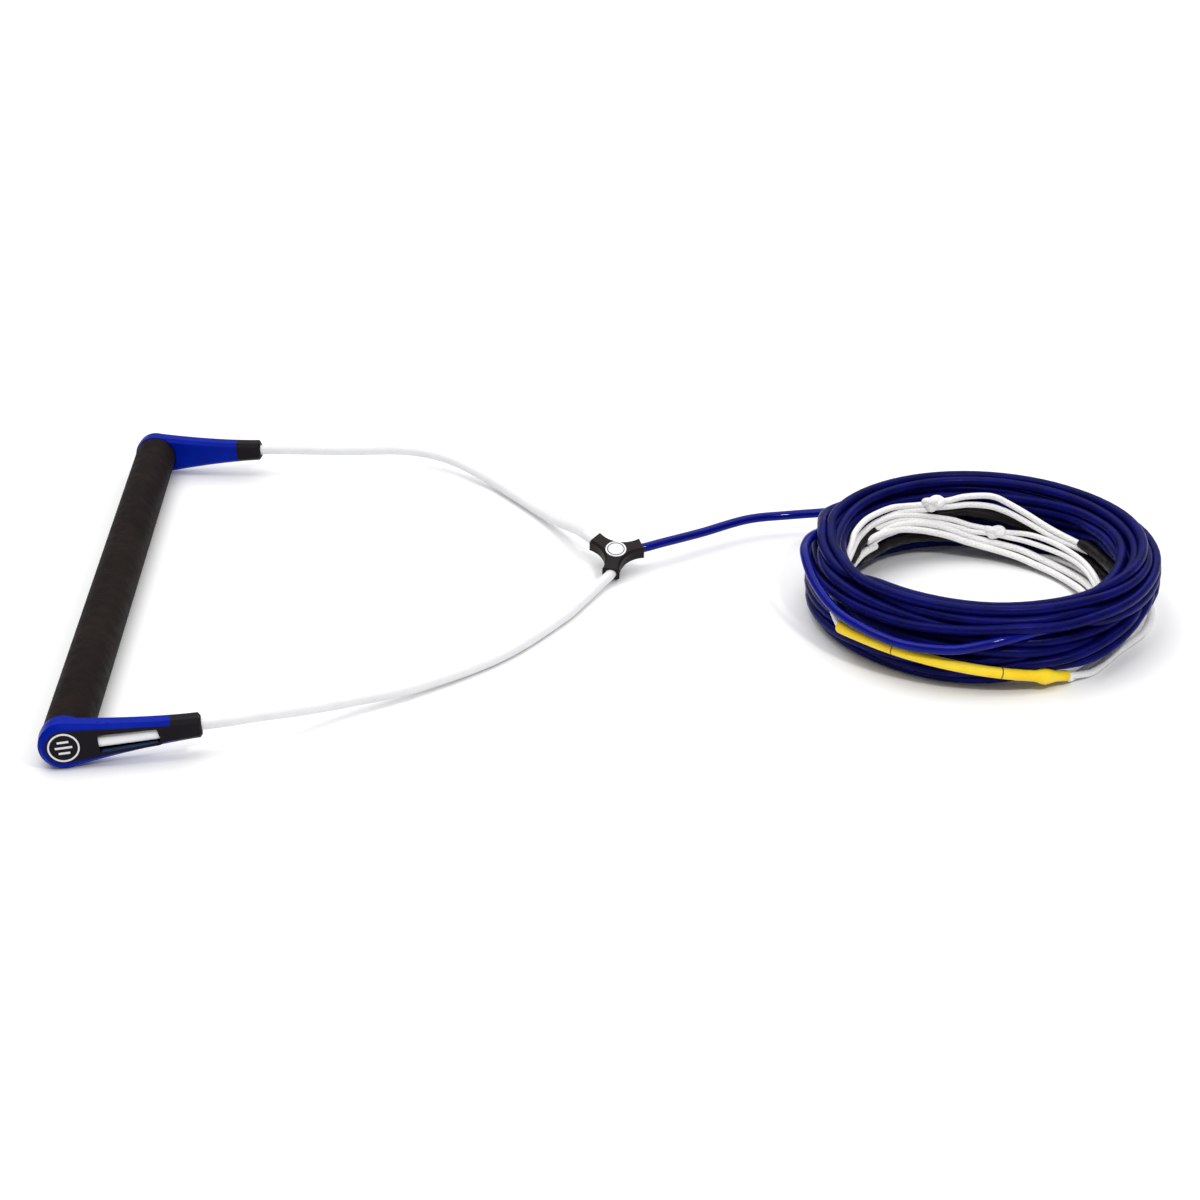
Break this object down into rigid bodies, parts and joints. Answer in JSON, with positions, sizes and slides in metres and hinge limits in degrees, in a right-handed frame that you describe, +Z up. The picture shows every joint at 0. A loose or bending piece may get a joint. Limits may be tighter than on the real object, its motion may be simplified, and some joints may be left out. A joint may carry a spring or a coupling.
{
  "type": "tow rope handle",
  "caption": "Straight foam-grip handle with end caps, a two-legged cord bridle, a moulded joiner and a long towing line wound in a hank.",
  "frame": {"origin": "middle of the grip, on its axis", "axes": "+Y along the grip's axis from the near cap to the far cap, +X from the grip towards the joiner and the hank, +Z up; everything lies on the plane z = -13.4 mm"},
  "size_m": [0.6354, 0.4052, 0.0498],
  "materials": {
    "tube_metal": "satin",
    "grip_foam": "matte, ribbed",
    "cap_blue": "satin",
    "cap_black": "matte",
    "mark_white": "satin",
    "leg_white": "coated",
    "joiner_black": "satin",
    "line_glossy": "gloss",
    "line_matt": "satin",
    "label_yellow": "satin",
    "clear_tube": "gloss",
    "braid_white": "braided",
    "sleeve_black": "satin"
  },
  "bodies": {
    "handle": {"handle_tube": "tube_metal", "grip_sleeve": "grip_foam", "cap_shell_near": "cap_blue", "cap_shell_far": "cap_blue", "cap_insert_near": "cap_black", "cap_insert_far": "cap_black", "cap_badge_near": "mark_white", "cap_badge_far": "mark_white", "cap_cord_near": "leg_white", "cap_cord_far": "leg_white"},
    "bridle": {"leg_near": "leg_white", "leg_far": "leg_white", "joiner_body": "joiner_black", "joiner_badge": "mark_white"},
    "lead": {"lead_line": "line_glossy"},
    "hank": {"line_coil": "line_matt", "crossing_strand": "line_glossy", "label_sleeve": "label_yellow", "takeoff_a": "braid_white", "takeoff_b": "braid_white", "takeoff_c": "braid_white", "knot_a": "braid_white", "knot_b": "braid_white", "braid_tail": "braid_white", "sleeve_left": "sleeve_black", "sleeve_low": "sleeve_black", "sleeve_up": "sleeve_black"},
    "loop": {"boat_loop": "clear_tube"}
  },
  "joints": [
    {"name": "bridle_swing", "type": "hinge", "parent": "handle", "child": "bridle", "pos_m": [0.07494, 0, 0.00471], "axis": [0, 1, 0], "range_deg": [-85, 85]},
    {"name": "line_swing", "type": "hinge", "parent": "bridle", "child": "lead", "pos_m": [0.32141, 0.03006, 0.00037], "axis": [0, 0, 1], "range_deg": [-60, 60]},
    {"name": "hank_swing", "type": "hinge", "parent": "lead", "child": "hank", "pos_m": [0.497, 0.069, 0.0106], "axis": [0, 0, 1], "range_deg": [0, 70]},
    {"name": "loop_swing", "type": "hinge", "parent": "hank", "child": "loop", "pos_m": [0.5524, -0.12965, -0.0093], "axis": [0, 0, 1], "range_deg": [-70, 0]}
  ]
}
